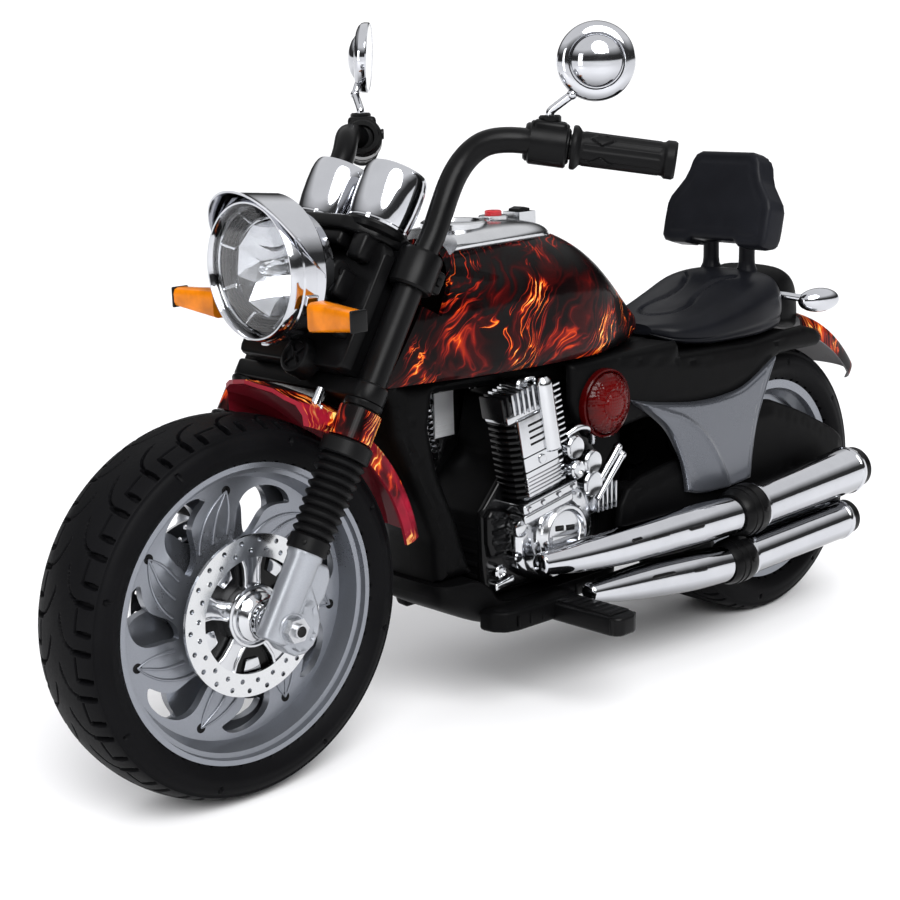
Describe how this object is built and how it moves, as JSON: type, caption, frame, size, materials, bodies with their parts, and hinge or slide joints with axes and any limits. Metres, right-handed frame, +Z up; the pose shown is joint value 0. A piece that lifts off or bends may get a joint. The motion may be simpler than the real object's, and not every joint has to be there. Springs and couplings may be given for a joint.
{
  "type": "kids electric motorbike",
  "caption": "Ride-on toy cruiser motorbike with spoked front wheel, gaitered fork, round headlight, flame tank, mock chrome engine, twin exhausts, seat with backrest and hub-geared rear drive.",
  "frame": {"origin": "on the floor, midway along the length and on the centre plane", "axes": "+X forward, +Y to the rider's left, +Z up"},
  "size_m": [1.0251, 0.4302, 0.6469],
  "materials": {
    "black_plastic": "satin",
    "black_metal": "satin",
    "grip": "matte",
    "tyre": "matte",
    "rim": "metallic",
    "silver": "metallic",
    "slate": "metallic",
    "chrome": "polished",
    "steel": "plain",
    "paint": "flame pattern",
    "seat": "satin",
    "clear": "clear",
    "amber": "translucent",
    "red_lens": "translucent",
    "red": "gloss",
    "dial": "plain",
    "mirror": "polished",
    "gear_plastic": "plain",
    "battery": "plain"
  },
  "bodies": {
    "chassis": {"head_tube": "black_plastic", "frame_left": "black_plastic", "frame_right": "black_plastic", "belly_pan": "black_plastic", "tank_cover": "paint", "dash_panel": "chrome", "seat_base": "black_plastic", "seat": "seat", "backrest": "seat", "tail_cowl": "black_plastic", "rear_fender": "paint", "rear_signals": "chrome", "engine_block": "black_plastic", "engine_covers": "chrome", "side_lenses": "red_lens", "side_covers": "slate", "exhaust_headers": "chrome", "exhaust_collars": "black_plastic", "mufflers": "chrome", "muffler_caps": "black_plastic", "footrests": "black_plastic", "rear_axle": "steel", "drive_motor": "steel", "gearbox_case": "gear_plastic", "battery": "battery"},
    "fork": {"front_axle": "steel", "steering_stem": "steel", "lower_yoke": "black_plastic", "upper_yoke": "black_plastic", "fork_tubes": "black_metal", "fork_legs": "silver", "gaiters": "black_plastic", "front_fender": "paint", "fork_cover": "black_plastic", "signal_lenses": "amber", "headlight_bezel": "chrome", "headlight_reflector": "chrome", "headlight_lens": "clear", "headlight_bucket": "chrome", "gauge_bracket": "black_plastic", "gauge_cups": "chrome", "gauge_faces": "dial", "handlebar": "black_metal", "grips": "grip", "mirror_stalks": "chrome", "switch_boxes": "black_plastic"},
    "mirror_left": {"mirror_shell_left": "chrome", "mirror_glass_left": "mirror"},
    "mirror_right": {"mirror_shell_right": "chrome", "mirror_glass_right": "mirror"},
    "front_wheel": {"front_tyre": "tyre", "front_rim": "rim", "front_discs": "chrome", "front_hubs": "chrome"},
    "rear_wheel": {"rear_tyre": "tyre", "rear_rim": "rim"},
    "red_button": {"red_button": "red"},
    "rocker": {"rocker_switch": "black_plastic"},
    "pedal": {"accel_pedal": "black_plastic"},
    "pinion": {"motor_pinion": "steel"}
  },
  "joints": [
    {"name": "steering", "type": "hinge", "parent": "chassis", "child": "fork", "pos_m": [0.19238, 0, 0.3633], "axis": [-0.518, 0, 0.8554], "range_deg": [-25, 25]},
    {"name": "front_wheel_spin", "type": "hinge", "parent": "fork", "child": "front_wheel", "pos_m": [0.34755, 0, 0.165], "axis": [0, 1, 0], "continuous": true},
    {"name": "rear_wheel_spin", "type": "hinge", "parent": "chassis", "child": "rear_wheel", "pos_m": [-0.35845, 0, 0.148], "axis": [0, 1, 0], "continuous": true},
    {"name": "motor_pinion_spin", "type": "hinge", "parent": "chassis", "child": "pinion", "pos_m": [-0.33551, 0, 0.18077], "axis": [0, 1, 0], "continuous": true},
    {"name": "left_mirror_swivel", "type": "hinge", "parent": "fork", "child": "mirror_left", "pos_m": [0.05955, 0.1415, 0.574], "axis": [0, 0, 1], "range_deg": [-25, 25]},
    {"name": "right_mirror_swivel", "type": "hinge", "parent": "fork", "child": "mirror_right", "pos_m": [0.05955, -0.1415, 0.574], "axis": [0, 0, 1], "range_deg": [-25, 25]},
    {"name": "red_button_press", "type": "slide", "parent": "chassis", "child": "red_button", "axis": [0, 0, -1], "range_m": [0, 0.0025], "stiffness_N_per_m": 400, "springref_m": -0.001},
    {"name": "rocker_tilt", "type": "hinge", "parent": "chassis", "child": "rocker", "pos_m": [-0.01845, 0, 0.468], "axis": [0, 1, 0], "range_deg": [-9, 9]},
    {"name": "pedal_press", "type": "hinge", "parent": "chassis", "child": "pedal", "pos_m": [0.00155, -0.1295, 0.114], "axis": [0, 1, 0], "range_deg": [0, 10], "stiffness_Nm_per_rad": 0.4, "springref_deg": -8.59}
  ],
  "couplings": [
    {"joint": "motor_pinion_spin", "follows": "rear_wheel_spin", "ratio": -3}
  ]
}
